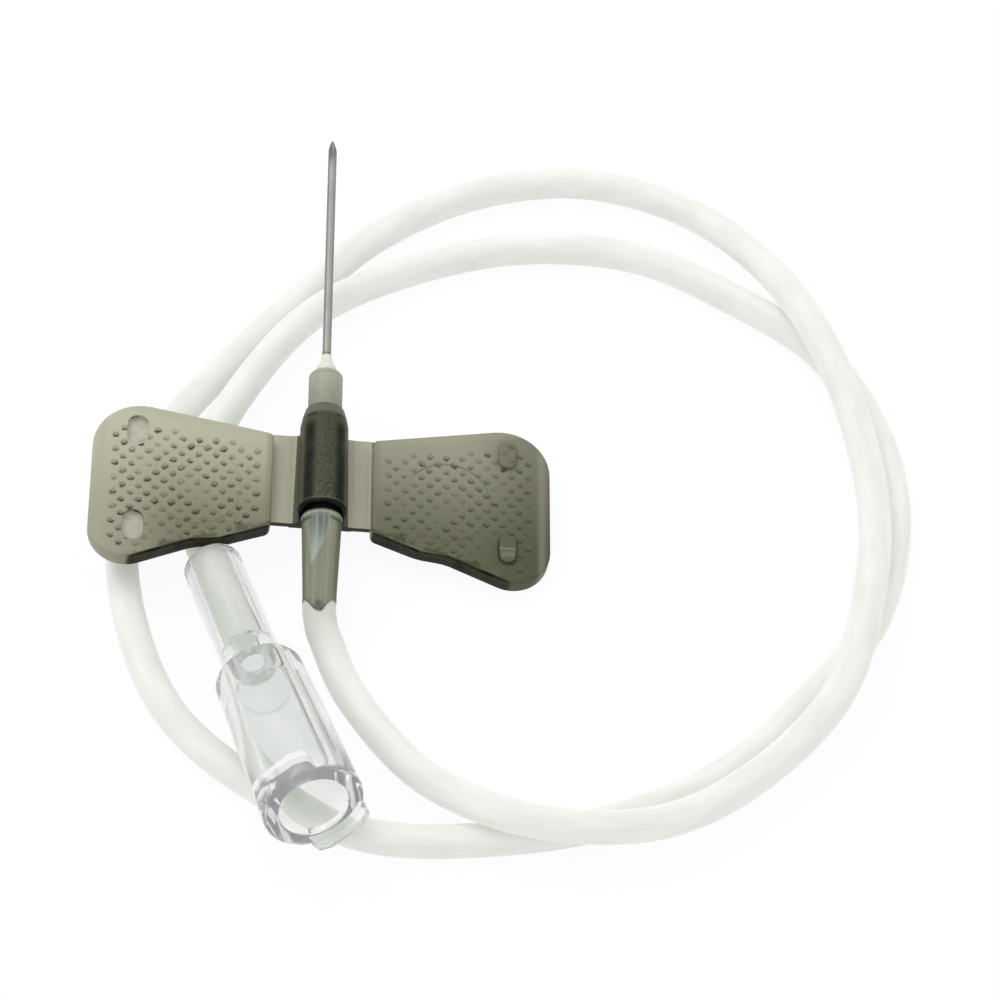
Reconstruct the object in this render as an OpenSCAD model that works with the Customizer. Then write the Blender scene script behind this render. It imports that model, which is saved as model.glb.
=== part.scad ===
// Winged infusion needle: a lancet-point cannula glued in a small hub, a wing moulding
// whose sleeve slides over the hub, and a long soft tube that ends in a female luer
// connector. Millimetres, +Z up, the needle points along +Y, and the set lies on Z = 0.

/* [Cannula] */
// Outside diameter of the steel tube
cannula_od = 0.56; // [0.5:0.02:0.8]
// Inside diameter of the steel tube
cannula_id = 0.32; // [0.2:0.02:0.4]
// Length of steel ahead of the hub's collar
cannula_reach = 19.2; // [12:0.5:26]
// Angle of the main grind of the point
bevel_angle = 13; // [11:0.5:20]
// Angle of the two side grinds of the point
lancet_angle = 18; // [17:0.5:32]
// How far each side grind is turned about the needle
lancet_turn = 35; // [20:1:40]
// Steel that shows behind the hub's spigot
cannula_tail = 0.3; // [0.1:0.05:0.4]

/* [Hub] */
// Outside diameter of the collar ahead of the wings
collar_od = 2.2; // [2.1:0.05:2.5]
// Length of the collar
collar_length = 2.9; // [2:0.1:4]
// Rounding of the collar's front shoulder
collar_round = 0.4; // [0.2:0.05:0.4]
// Diameter of the barrel inside the sleeve
barrel_od = 1.8; // [1.6:0.05:1.85]
// Length of the spigot behind the sleeve
spigot_length = 6.6; // [4:0.1:9]
// Diameter of the spigot's rear end
spigot_tip_od = 1.2; // [1.1:0.05:1.5]
// Diameter of the glue well in the collar's face
well_od = 1.3; // [1:0.05:1.4]
// Depth of the glue well
well_depth = 0.5; // [0.3:0.1:1]
// Height of the glue cone ahead of the collar
glue_height = 0.8; // [0.6:0.1:1.6]

/* [Sleeve] */
// Outside diameter of the sleeve
sleeve_od = 3.1; // [2.9:0.05:3.5]
// Length of the sleeve
sleeve_length = 7.6; // [7:0.1:10]
// Diameter of the stepped lip at the sleeve's front
lip_od = 2.6; // [2.5:0.05:2.85]
// Length of the stepped lip
lip_length = 0.8; // [0.4:0.1:1.2]
// Length of the chamfer behind the lip
lip_chamfer = 0.6; // [0.2:0.05:0.8]
// Diameter of the counterbore in the sleeve's rear face
rear_bore_od = 2.6; // [2.4:0.05:2.7]
// Depth of the counterbore
rear_bore_depth = 0.5; // [0.3:0.1:1]

/* [Wings] */
// Distance from the needle's axis to a wing's outer side
wing_reach = 14.7; // [13:0.1:18]
// Thickness of a wing
wing_thickness = 1.3; // [1.1:0.05:1.8]
// Distance from the needle's axis to a wing's thick root
root_reach = 3.2; // [3.1:0.05:3.6]
// Front end of the thick root, ahead of the sleeve's middle
root_front = 2.1; // [1.8:0.05:3.2]
// Front corner of the wing before rounding, ahead of the sleeve's middle
tip_front = 4.05; // [3.3:0.05:5]
// Rear end of the thick root, behind the sleeve's middle
root_rear = 4.8; // [4.3:0.05:5]
// Rear corner of the wing before rounding, behind the sleeve's middle
tip_rear = 8.9; // [8:0.05:9.5]
// Radius of the front outer corner
front_round = 3.1; // [1.5:0.1:4]
// Radius of the rear outer corner
rear_round = 2.4; // [1.5:0.1:3]
// Distance from the root to the bend in the rear edge
bend_at = 3; // [2.6:0.1:3.2]
// How far that bend lies behind the sleeve's middle
bend_rear = 5.9; // [5.6:0.02:6]
// Distance from the root to the dip in the rear edge
dip_at = 4.8; // [4.6:0.1:5.4]
// How far that dip lies behind the sleeve's middle
dip_rear = 6.12; // [6:0.02:6.3]

/* [Hinge] */
// Thickness of the thin web beside the sleeve
web_thickness = 0.45; // [0.35:0.05:0.5]
// Distance from the needle's axis to the line where the web folds
fold_reach = 2.85; // [2.8:0.05:3]
// Front end of the web, ahead of the sleeve's middle
web_front = 2.5; // [2:0.05:3.4]
// Rear end of the web, behind the sleeve's middle
web_rear = 4.1; // [3.6:0.05:4.6]
// Radius of the fillet between the sleeve and the web
web_fillet = 0.4; // [0.2:0.05:0.5]
// Slit at the fold line, where the moulding is split for motion
fold_slit = 0.05; // [0.03:0.01:0.1]

/* [Grip] */
// Side of one grip pip
pip_size = 0.36; // [0.25:0.01:0.45]
// Height of one grip pip
pip_height = 0.12; // [0.06:0.02:0.2]
// Distance between two rows of pips
pip_row = 0.53; // [0.5:0.01:0.7]
// Smooth border around the pips
pip_border = 0.9; // [0.8:0.1:2]
// Width of a peg on the right wing
peg_width = 1.15; // [0.8:0.05:1.4]
// Length of a peg on the right wing
peg_length = 2; // [1.6:0.1:2.4]
// Height of a peg on the right wing
peg_height = 0.3; // [0.2:0.05:0.8]
// Distance from the needle's axis to the pegs
peg_reach = 11.9; // [9:0.1:12]
// Distance between the two pegs
peg_spacing = 7; // [5:0.1:7.2]
// Middle of the two pegs, behind the sleeve's middle
peg_rear = 1.9; // [1.4:0.1:2.2]
// Room around a peg in its recess on the left wing
peg_room = 0.1; // [0.05:0.05:0.2]
// Diameter of the moulding pin's witness ring on each wing
witness_od = 5.7; // [4:0.1:6]
// Distance from the needle's axis to the witness ring
witness_reach = 8; // [7:0.1:8.5]
// Middle of the witness ring, behind the sleeve's middle
witness_rear = 2.2; // [1:0.1:2.4]

/* [Tube] */
// Outside diameter of the soft tube
tube_od = 2.1; // [1.9:0.05:2.2]
// Inside diameter of the soft tube
tube_id = 1.2; // [1:0.05:1.3]
// Outside diameter of the tube where it is stretched over the spigot
cuff_od = 2.65; // [2.5:0.05:2.9]
// Gap between the sleeve and the end of the tube
cuff_gap = 0.35; // [0.2:0.05:0.6]

/* [Luer connector] */
// Length of the connector
luer_length = 22.8; // [21:0.1:26]
// Outside diameter of the narrow socket that the tube is glued in
socket_od = 3.8; // [3.4:0.05:4]
// Length of the narrow socket
socket_length = 10.3; // [9:0.1:12]
// Depth that the tube goes into the socket
tube_seat = 8.2; // [6:0.1:9]
// Length of the cone between the socket and the barrel
shoulder_length = 0.9; // [0.5:0.1:1.5]
// Outside diameter of the barrel behind its cone
barrel_back_od = 5.6; // [5:0.05:6]
// Outside diameter of the barrel at its mouth
mouth_od = 6.25; // [5.8:0.05:6.4]
// Inside diameter of the luer taper at its mouth
luer_id = 4.3; // [4.2:0.02:4.4]
// Depth of the luer taper
luer_depth = 10.2; // [8:0.1:10.4]
// Diameter of the chamber behind the taper
chamber_od = 3.2; // [2.6:0.05:3.4]
// Length of the chamber behind the taper
chamber_length = 2.4; // [1.5:0.1:2.6]
// Diameter of the passage from the tube to the chamber
passage_od = 1.4; // [1:0.05:1.6]
// Distance across the two lugs
lug_span = 7.6; // [7.2:0.1:7.9]
// Width of a lug across the mouth
lug_width = 3.9; // [3:0.1:4.2]
// Length of a lug along the barrel
lug_length = 1.1; // [0.8:0.1:1.6]

/* [Hidden] */
$fn = 64;

// Room between two pieces that are glued together
glue_gap = 0.03;
// Room that a cut is taken past a face
past = 1;

// How the needle assembly lies: its right wing's rear corner touches the surface
assembly_place = [0.1, -7.4, 4.425];
assembly_pitch = 8;
assembly_roll = 8;

// How the connector lies: its socket on the surface and its mouth on a strand of the tube
luer_place = [-6.9, -13.7, 1.95];
luer_yaw = 19.1;
luer_pitch = 9.8;
// Direction of the lugs about the connector's axis
lug_turn = -60;

// Stations along the needle's axis, ahead of the sleeve's middle
sleeve_front = sleeve_length / 2;
sleeve_rear = -sleeve_length / 2;
collar_front = sleeve_front + collar_length;
point_front = collar_front + cannula_reach;
spigot_rear = sleeve_rear - spigot_length;
cannula_rear = spigot_rear - cannula_tail;
cuff_front = sleeve_rear - cuff_gap;
cuff_rear = cannula_rear - 0.3;

// Heights measured from the needle's axis
web_bottom = -sleeve_od / 2;
web_top = web_bottom + web_thickness;
wing_top = web_bottom + wing_thickness;
fold_height = web_bottom + web_thickness / 2;

// The wing's outline, as corners [reach, ahead, radius]
WING_CORNERS = [
    [root_reach, -root_rear, 0.5],
    [root_reach + bend_at, -bend_rear, 5],
    [root_reach + dip_at, -dip_rear, 4],
    [wing_reach, -tip_rear, rear_round],
    [wing_reach, tip_front, front_round],
    [root_reach, root_front, 0.4]
];
CORNER_STEPS = 10;

// The tube's route from the hub to the connector, along two loops laid by hand
ROUTE = [
    [0.5, -20, 2.5], [2.5, -24.5, 1.9], [7, -30.5, 2.4], [13.5, -34.25, 3.4],
    [21, -34, 2.9], [27.25, -30, 2.3], [32.25, -24.25, 2.8], [34.5, -17, 3.4],
    [35.25, -9.5, 3], [34.25, -1.75, 3.2], [32, 5.5, 3.4], [28.75, 12.25, 2.4],
    [23.75, 18, 1.2], [16.75, 20.5, 1.1], [9.25, 19.25, 1.1], [2.75, 15.25, 1.1],
    [-2.25, 9.5, 1.1], [-7, 3.5, 1.1], [-11, -3, 1.1], [-12.75, -10.5, 1.1],
    [-11.75, -18, 1.1], [-8.75, -25, 1.1], [-3.25, -30.25, 1.1], [3.5, -33.75, 1.1],
    [11.25, -34, 1.1], [18.75, -32.5, 1.1], [25.5, -29, 1.1], [30.75, -23.5, 1.1],
    [35, -17.25, 1.1], [36.75, -9.75, 1.1], [36, -2.25, 1.1], [32.75, 4.75, 1.1],
    [27, 9.75, 1.1], [20.5, 13.5, 1.1], [12.75, 14.25, 1.1], [5.5, 12.25, 1.2],
    [-0.75, 8, 1.9], [-5, 1.75, 2.2], [-7.75, -5, 2]
];
ROUTE_STEPS = 2;
TUBE_SIDES = 8;

function unit(v) = v / norm(v);

// Angle from direction a to direction b, between -180 and 180
function turn(a, b) = let (t = atan2(b.y, b.x) - atan2(a.y, a.x)) t - 360 * round(t / 360);

// Points of one rounded corner at p, between the neighbours a and b
function corner(p, a, b, r) =
    let (to_a = unit(a - p), to_b = unit(b - p), half = acos(to_a * to_b) / 2,
         centre = p + unit(to_a + to_b) * r / sin(half),
         start = p + to_a * r / tan(half) - centre,
         end = p + to_b * r / tan(half) - centre,
         first = atan2(start.y, start.x), sweep = turn(start, end))
    [for (i = [0:CORNER_STEPS]) let (t = first + sweep * i / CORNER_STEPS)
        centre + r * [cos(t), sin(t)]];

// A closed outline from its corners [x, y, radius]
function rounded(c) = let (n = len(c))
    [for (i = [0:n - 1])
        each corner([c[i].x, c[i].y],
                    [c[(i + n - 1) % n].x, c[(i + n - 1) % n].y],
                    [c[(i + 1) % n].x, c[(i + 1) % n].y], c[i].z)];

// Distance from p to the segment from a to b
function to_segment(p, a, b) =
    let (d = b - a, t = max(0, min(1, (p - a) * d / (d * d)))) norm(p - a - t * d);

// Whether p lies inside the outline and at least margin from it
function well_inside(p, outline, margin) =
    let (n = len(outline),
         crossings = [for (i = [0:n - 1]) let (a = outline[i], b = outline[(i + 1) % n])
             if ((a.y > p.y) != (b.y > p.y)
                 && p.x < a.x + (b.x - a.x) * (p.y - a.y) / (b.y - a.y)) 1],
         nearest = min([for (i = [0:n - 1]) to_segment(p, outline[i], outline[(i + 1) % n])]))
    len(crossings) % 2 == 1 && nearest >= margin;

WING_OUTLINE = rounded(WING_CORNERS);

// Turns a vector from the needle's own axes to the set's axes
function lie(v) =
    let (x = v.x * cos(assembly_roll) + v.z * sin(assembly_roll),
         z = v.z * cos(assembly_roll) - v.x * sin(assembly_roll))
    [x, v.y * cos(assembly_pitch) - z * sin(assembly_pitch),
     v.y * sin(assembly_pitch) + z * cos(assembly_pitch)];

LUER_AXIS = [sin(luer_yaw) * cos(luer_pitch), -cos(luer_yaw) * cos(luer_pitch),
             sin(luer_pitch)];

// The whole route: straight out of the hub, over the hand-laid points, into the socket
FULL_ROUTE = concat(
    [assembly_place + lie([0, cuff_rear, 0])],
    ROUTE,
    [luer_place - 3 * LUER_AXIS, luer_place, luer_place + tube_seat / 2 * LUER_AXIS,
     luer_place + tube_seat * LUER_AXIS]
);

// A point of the smooth curve through the route, at share t of span i
function on_curve(pts, i, t) =
    let (n = len(pts), a = i > 0 ? pts[i - 1] : 2 * pts[0] - pts[1], b = pts[i],
         c = pts[i + 1], d = i + 2 < n ? pts[i + 2] : 2 * pts[n - 1] - pts[n - 2])
    0.5 * (2 * b + (c - a) * t + (2 * a - 5 * b + 4 * c - d) * t * t
           + (3 * b - 3 * c + d - a) * t * t * t);

function smooth(pts) = concat(
    [for (i = [0:len(pts) - 2], k = [0:ROUTE_STEPS - 1]) on_curve(pts, i, k / ROUTE_STEPS)],
    [pts[len(pts) - 1]]);

// Places children in the needle's own axes, as it lies on the surface
module as_laid() {
    translate(assembly_place) rotate([assembly_pitch, 0, 0]) rotate([0, assembly_roll, 0])
        children();
}

// Turns a shape drawn along Z so that it runs along the needle
module along_needle() {
    as_laid() rotate([-90, 0, 0]) children();
}

// One flat grind of the point: everything above a slope that meets the lower wall's tip
module grind(slope, turned) {
    as_laid() rotate([0, turned, 0]) translate([0, point_front, -cannula_od / 2])
        rotate([-slope, 0, 0]) translate([-past, -10, 0]) cube([2 * past, 12, 2]);
}

module cannula() {
    color("silver") difference() {
        along_needle() translate([0, 0, cannula_rear])
            cylinder(d = cannula_od, h = point_front - cannula_rear);
        along_needle() translate([0, 0, cannula_rear - past])
            cylinder(d = cannula_id, h = point_front - cannula_rear + 2 * past);
        grind(bevel_angle, 0);
        grind(lancet_angle, lancet_turn);
        grind(lancet_angle, -lancet_turn);
    }
}

// Cured glue: a plug in the well that rises to a hollow-sided cone round the steel
module cannula_adhesive() {
    inside = cannula_od / 2 + glue_gap;
    plug = well_od / 2 - glue_gap;
    neck = inside + 0.05;
    color("whitesmoke") along_needle() translate([0, 0, collar_front]) rotate_extrude()
        polygon([[inside, glue_gap - well_depth], [plug, glue_gap - well_depth], [plug, 0],
                 [neck + 0.45 * (plug - neck), 0.3 * glue_height],
                 [neck + 0.15 * (plug - neck), 0.65 * glue_height],
                 [neck, glue_height], [inside, glue_height]]);
}

module hub() {
    bore = cannula_od / 2 + glue_gap;
    collar = collar_od / 2;
    shoulder = collar_front - collar_round;
    shoulder_arc = [for (t = [0:10:90])
        [collar - collar_round + collar_round * cos(t), shoulder + collar_round * sin(t)]];
    color("lightgray") along_needle() rotate_extrude()
        polygon(concat(
            [[bore, spigot_rear], [spigot_tip_od / 2 - 0.1, spigot_rear],
             [spigot_tip_od / 2, spigot_rear + 0.2],
             [barrel_od / 2, sleeve_rear], [barrel_od / 2, sleeve_front + glue_gap],
             [collar, sleeve_front + glue_gap]],
            shoulder_arc,
            [[well_od / 2, collar_front], [well_od / 2, collar_front - well_depth],
             [bore, collar_front - well_depth]]));
}

// Outline of one side of the web under the sleeve, with the fillet that blends it in
module web_profile() {
    sleeve = sleeve_od / 2;
    centre = [sqrt(pow(sleeve + web_fillet, 2) - pow(web_top + web_fillet, 2)),
              web_top + web_fillet];
    touch = centre * sleeve / (sleeve + web_fillet);
    difference() {
        polygon([[0, web_bottom], [fold_reach - web_thickness / 2 - fold_slit, web_bottom],
                 [fold_reach - web_thickness / 2 - fold_slit, web_top], [centre.x, web_top],
                 touch, [0, touch.y]]);
        translate(centre) circle(r = web_fillet);
    }
}

module wing_sleeve() {
    lip = lip_od / 2;
    body = sleeve_od / 2;
    bore = barrel_od / 2 + glue_gap;
    lip_rear = sleeve_front - lip_length;
    color("dimgray") difference() {
        union() {
            along_needle() rotate_extrude()
                polygon([[0, sleeve_rear], [body - 0.1, sleeve_rear],
                         [body, sleeve_rear + 0.1], [body, lip_rear - lip_chamfer],
                         [lip, lip_rear], [lip, sleeve_front - 0.1],
                         [lip - 0.1, sleeve_front], [0, sleeve_front]]);
            for (side = [0, 1])
                as_laid() mirror([side, 0, 0]) translate([0, web_front, 0])
                    rotate([90, 0, 0]) linear_extrude(web_front + web_rear) web_profile();
        }
        along_needle() translate([0, 0, sleeve_rear - past])
            cylinder(r = bore, h = sleeve_length + 2 * past);
        along_needle() translate([0, 0, sleeve_rear - past])
            cylinder(d = rear_bore_od, h = rear_bore_depth + past);
        for (turned = [-35, 35])
            as_laid() rotate([0, turned, 0])
                translate([-0.15, lip_rear, lip - 0.12]) cube([0.3, lip_length + past, past]);
    }
}

// An oblong with round ends, along Y
module oblong(width, length) {
    translate([-width / 2, -(length - width) / 2]) square([width, length - width]);
    for (end = [-1, 1]) translate([0, end * (length - width) / 2]) circle(d = width);
}

module at_pegs() {
    for (end = [-1, 1])
        translate([peg_reach, end * peg_spacing / 2 - peg_rear, wing_top]) children();
}

// Pips on the wing's underside, in a checkerboard lattice inside a smooth border
module grip_pips() {
    rows = ceil(tip_rear / pip_row);
    columns = ceil(wing_reach / pip_row);
    for (i = [1:columns], j = [-rows:rows]) {
        spot = [i, j] * pip_row;
        if ((i + j + 2 * rows) % 2 == 0
            && well_inside(spot, WING_OUTLINE, pip_border))
            translate([spot.x, spot.y, web_bottom - pip_height])
                cylinder(d = pip_size * sqrt(2), h = pip_height + 0.05, $fn = 4);
    }
}

// A wing on the +X side in the needle's own axes: plate, grip, and the web up to the fold
module wing() {
    difference() {
        union() {
            translate([0, 0, web_bottom]) linear_extrude(wing_thickness)
                polygon(WING_OUTLINE);
            grip_pips();
            translate([fold_reach, -web_rear, web_bottom])
                cube([root_reach - fold_reach + 0.3, web_front + web_rear, web_thickness]);
            translate([fold_reach, -web_rear, fold_height]) rotate([-90, 0, 0])
                cylinder(d = web_thickness, h = web_front + web_rear);
        }
        translate([witness_reach, -witness_rear, wing_top - 0.05]) difference() {
            cylinder(d = witness_od + 0.12, h = past);
            translate([0, 0, -past]) cylinder(d = witness_od - 0.12, h = 3 * past);
        }
    }
}

module left_wing() {
    color("darkgray") as_laid() mirror([1, 0, 0]) difference() {
        wing();
        at_pegs() translate([0, 0, -peg_height - peg_room])
            linear_extrude(peg_height + peg_room + past)
                oblong(peg_width + 2 * peg_room, peg_length + 2 * peg_room);
    }
}

module right_wing() {
    color("darkgray") as_laid() {
        wing();
        at_pegs() translate([0, 0, -0.05]) linear_extrude(peg_height + 0.05)
            oblong(peg_width, peg_length);
    }
}

// The stretched end of the tube over the spigot, down to its own size behind it
module tube_cuff() {
    color("gainsboro") along_needle() rotate_extrude()
        polygon([[barrel_od / 2 + glue_gap, cuff_front], [cuff_od / 2 - 0.08, cuff_front],
                 [cuff_od / 2, cuff_front - 0.15], [cuff_od / 2, cuff_front - 0.6],
                 [tube_od / 2 + 0.03, spigot_rear], [tube_od / 2, cuff_rear],
                 [tube_id / 2, cuff_rear], [tube_id / 2, spigot_rear - 0.05],
                 [spigot_tip_od / 2 + glue_gap, spigot_rear + 0.2]]);
}

// The free tube: one ring of corners per point of the smooth route, joined in a closed skin
module free_tube() {
    path = smooth(FULL_ROUTE);
    last = len(path) - 1;
    rings = [for (i = [0:last])
        let (ahead = unit(path[min(i + 1, last)] - path[max(i - 1, 0)]),
             side = unit(cross(ahead, [0, 0, 1])), up = cross(side, ahead))
        for (k = [0:TUBE_SIDES - 1]) let (a = 360 * k / TUBE_SIDES)
            path[i] + tube_od / 2 * (cos(a) * side + sin(a) * up)];
    walls = [for (i = [0:last - 1], k = [0:TUBE_SIDES - 1])
        let (a = i * TUBE_SIDES + k, b = i * TUBE_SIDES + (k + 1) % TUBE_SIDES)
        [a, b, b + TUBE_SIDES, a + TUBE_SIDES]];
    color("gainsboro") polyhedron(rings, concat(
        [[for (k = [TUBE_SIDES - 1:-1:0]) k]], walls,
        [[for (k = [0:TUBE_SIDES - 1]) last * TUBE_SIDES + k]]));
}

module tube() {
    tube_cuff();
    free_tube();
}

// Places children along the connector, from its socket's end towards its mouth
module along_luer() {
    translate(luer_place) rotate([90 - luer_pitch, 0, luer_yaw]) children();
}

module luer_connector() {
    socket = socket_od / 2;
    barrel_back = socket_length + shoulder_length;
    taper_back = luer_length - luer_depth;
    taper_id = luer_id - 0.06 * luer_depth;
    chamber_back = taper_back - chamber_length;
    color("azure") difference() {
        union() {
            along_luer() rotate_extrude()
                polygon([[0, 0], [socket - 0.5, 0], [socket - 0.15, 0.15], [socket, 0.5],
                         [socket, socket_length], [barrel_back_od / 2 - 0.3, barrel_back - 0.4],
                         [barrel_back_od / 2, barrel_back],
                         [mouth_od / 2, luer_length - 0.6], [mouth_od / 2, luer_length - 0.2],
                         [mouth_od / 2 - 0.2, luer_length], [0, luer_length]]);
            along_luer() rotate([0, 0, lug_turn]) translate([0, 0, luer_length - lug_length])
                linear_extrude(lug_length - 0.05) intersection() {
                    square([lug_span, lug_width], center = true);
                    circle(d = lug_span + 0.3);
                }
        }
        along_luer() translate([0, 0, -past])
            cylinder(d = tube_od + 2 * glue_gap, h = tube_seat + glue_gap + past);
        along_luer() translate([0, 0, tube_seat - past])
            cylinder(d = passage_od, h = chamber_back - tube_seat + 2 * past);
        along_luer() translate([0, 0, chamber_back])
            cylinder(d = chamber_od, h = chamber_length + past);
        along_luer() translate([0, 0, taper_back])
            cylinder(d1 = taper_id, d2 = luer_id, h = luer_depth);
        along_luer() translate([0, 0, luer_length - 0.01])
            cylinder(d = luer_id, h = past);
    }
}

cannula();
cannula_adhesive();
hub();
wing_sleeve();
left_wing();
right_wing();
tube();
luer_connector();
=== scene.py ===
# %% [markdown]
# A butterfly needle, also called a winged infusion set: a short steel needle in a small hub,
# a smoky wing moulding that slides over the hub, a long milky tube and a clear luer connector.
# This lesson dresses its CAD model in Blender. It works in metres in the CAD's own frame, so each
# piece is first drawn in millimetres along the needle or the connector, and laid in place at the end.

import math

import bmesh
import bpy
from mathutils import Matrix, Vector


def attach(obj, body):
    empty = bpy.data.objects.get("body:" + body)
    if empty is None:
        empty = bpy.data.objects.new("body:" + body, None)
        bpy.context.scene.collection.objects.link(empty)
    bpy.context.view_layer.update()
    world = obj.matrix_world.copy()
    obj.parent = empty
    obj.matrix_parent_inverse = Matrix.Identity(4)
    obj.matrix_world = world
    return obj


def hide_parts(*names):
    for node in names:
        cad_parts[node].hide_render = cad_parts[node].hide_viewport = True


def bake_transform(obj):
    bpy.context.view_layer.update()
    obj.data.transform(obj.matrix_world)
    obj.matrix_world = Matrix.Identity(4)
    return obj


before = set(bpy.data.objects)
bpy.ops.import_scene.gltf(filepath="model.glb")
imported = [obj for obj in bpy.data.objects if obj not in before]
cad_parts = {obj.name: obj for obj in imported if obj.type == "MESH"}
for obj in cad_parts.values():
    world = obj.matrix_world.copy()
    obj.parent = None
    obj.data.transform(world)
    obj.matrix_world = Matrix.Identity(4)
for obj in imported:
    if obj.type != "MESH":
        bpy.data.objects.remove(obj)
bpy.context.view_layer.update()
print("CAD nodes:", sorted(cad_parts))

# %% [markdown]
# The needle lies tilted: its tail end is lower than its point, and the left wing is a little
# higher than the right one. One matrix holds that tilt, and a second one holds how the connector
# lies. Drawing each piece in its own straight axes and laying it down last keeps the sizes readable.

# %% Where the two assemblies lie
MM = 0.001
NEEDLE_PLACE = Vector((0.1, -7.4, 4.425))
NEEDLE_PITCH = math.radians(8)
NEEDLE_ROLL = math.radians(8)
LUER_PLACE = Vector((-6.9, -13.7, 1.95))
LUER_YAW = math.radians(19.1)
LUER_PITCH = math.radians(9.8)

NEEDLE_LAID = (
    Matrix.Scale(MM, 4)
    @ Matrix.Translation(NEEDLE_PLACE)
    @ Matrix.Rotation(NEEDLE_PITCH, 4, "X")
    @ Matrix.Rotation(NEEDLE_ROLL, 4, "Y")
)
LUER_LAID = (
    Matrix.Scale(MM, 4)
    @ Matrix.Translation(LUER_PLACE)
    @ Matrix.Rotation(LUER_YAW, 4, "Z")
    @ Matrix.Rotation(math.radians(90) - LUER_PITCH, 4, "X")
)
print("sleeve's middle:", tuple(NEEDLE_LAID.translation))

# %% [markdown]
# The photograph was taken from above the tail end, at about 51 degrees over the table, through a
# long lens, so near and far parts keep almost the same scale. The camera comes first because
# everything else is judged through it.

# %% Camera
VIEW_TARGET = Vector((11.39, -6.92, 0)) * MM
VIEW_ELEVATION = math.radians(51)
VIEW_DISTANCE = 0.234

camera_data = bpy.data.cameras.new("Camera")
camera_data.sensor_width = 36
camera_data.lens = 129.6
camera_data.clip_start = 0.01
camera_data.clip_end = 10
camera = bpy.data.objects.new("Camera", camera_data)
bpy.context.scene.collection.objects.link(camera)
view_back = Vector((0, -math.cos(VIEW_ELEVATION), math.sin(VIEW_ELEVATION)))
camera.location = VIEW_TARGET + VIEW_DISTANCE * view_back
camera.rotation_euler = view_back.to_track_quat("Z", "Y").to_euler()
bpy.context.scene.camera = camera
bpy.context.scene.view_settings.view_transform = "Standard"
print("camera at", tuple(camera.location))

# %% [markdown]
# Patterns in the finishes are sums and products of fields, such as noise. Written node by node
# they are hard to read, so one small class wraps a socket: an operator on it adds a Math node, and
# its `node` method adds any other node and gives back the output that comes out of it.


# %% A socket that Python can calculate with
class Field:
    def __init__(self, socket):
        self.socket = socket

    def node(self, kind, settings=None, sockets=None, output=0):
        tree = self.socket.id_data
        made = tree.nodes.new(kind)
        for name, value in (settings or {}).items():
            if name == "stops":
                set_stops(made.color_ramp, value)
            else:
                setattr(made, name, value)
        for key, value in (sockets or {}).items():
            if isinstance(value, Field):
                tree.links.new(value.socket, made.inputs[key])
            else:
                made.inputs[key].default_value = value
        return Field(made.outputs[output])

    def maths(self, operation, first, second):
        return self.node("ShaderNodeMath", {"operation": operation}, {0: first, 1: second})

    def __add__(self, other):
        return self.maths("ADD", self, other)

    def __radd__(self, other):
        return self.maths("ADD", other, self)

    def __sub__(self, other):
        return self.maths("SUBTRACT", self, other)

    def __rsub__(self, other):
        return self.maths("SUBTRACT", other, self)

    def __mul__(self, other):
        return self.maths("MULTIPLY", self, other)

    def __rmul__(self, other):
        return self.maths("MULTIPLY", other, self)

    def clamped(self, low, high, to_low=0.0, to_high=1.0):
        return self.node(
            "ShaderNodeMapRange",
            {"interpolation_type": "SMOOTHSTEP"},
            {"Value": self, "From Min": low, "From Max": high, "To Min": to_low, "To Max": to_high},
        )

    def tinted(self, dark, light):
        return self.node(
            "ShaderNodeMix",
            {"data_type": "RGBA"},
            {"Factor": self, "A": (*dark, 1), "B": (*light, 1)},
            "Result",
        )

    def covered(self, mask, colour):
        """Paints a colour over this one where the mask is 1."""
        return self.node(
            "ShaderNodeMix", {"data_type": "RGBA"}, {"Factor": mask, "A": self, "B": (*colour, 1)}, "Result"
        )

    def covered_by(self, mask, over):
        return self.node(
            "ShaderNodeMix", {"data_type": "RGBA"}, {"Factor": mask, "A": self, "B": over}, "Result"
        )

    def axes(self):
        return [self.node("ShaderNodeSeparateXYZ", None, {0: self}, axis) for axis in "XYZ"]

    def size(self):
        return self.maths("ABSOLUTE", self, 0.0)

    def least(self, other):
        return self.maths("MINIMUM", self, other)

    def most(self, other):
        return self.maths("MAXIMUM", self, other)

    def whole(self):
        return self.maths("ROUND", self, 0.0)

    def band(self, middle, width):
        """1 at the middle, falling to 0 at half the width to either side."""
        return (self - middle).size().clamped(0, width / 2, 1, 0)


def distance(across, along):
    squared = across * across + along * along
    return squared.maths("SQRT", squared, 0.0)


def set_stops(ramp, stops):
    while len(ramp.elements) < len(stops):
        ramp.elements.new(1.0)
    for element, (position, colour) in zip(ramp.elements, stops):
        element.position = position
        element.color = colour


print("field operators:", "add, subtract, multiply")

# %% [markdown]
# Every finish starts from the Principled BSDF. Its constant values go on its own sockets. The
# patterns read the attribute "drawn": where each point was in millimetres when the piece was drawn
# in its own straight axes, before it was laid down. So a pattern follows the piece when it moves.


# %% Start of a finish
def new_finish(name, **constants):
    material = bpy.data.materials.new(name)
    material.use_nodes = True
    shader = material.node_tree.nodes["Principled BSDF"]
    for key, value in constants.items():
        shader.inputs[key.replace("_", " ")].default_value = value
    drawn = material.node_tree.nodes.new("ShaderNodeAttribute")
    drawn.attribute_name = "drawn"
    return material, shader, Field(drawn.outputs["Vector"])


def feed(shader, socket, field):
    shader.id_data.links.new(field.socket, shader.inputs[socket])


def noise(place, scale, detail=3.0, roughness=0.5, stretch=(1, 1, 1)):
    stretched = place.node("ShaderNodeMapping", None, {"Vector": place, "Scale": stretch})
    return place.node(
        "ShaderNodeTexNoise",
        None,
        {"Vector": stretched, "Scale": scale, "Detail": detail, "Roughness": roughness},
    )


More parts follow.
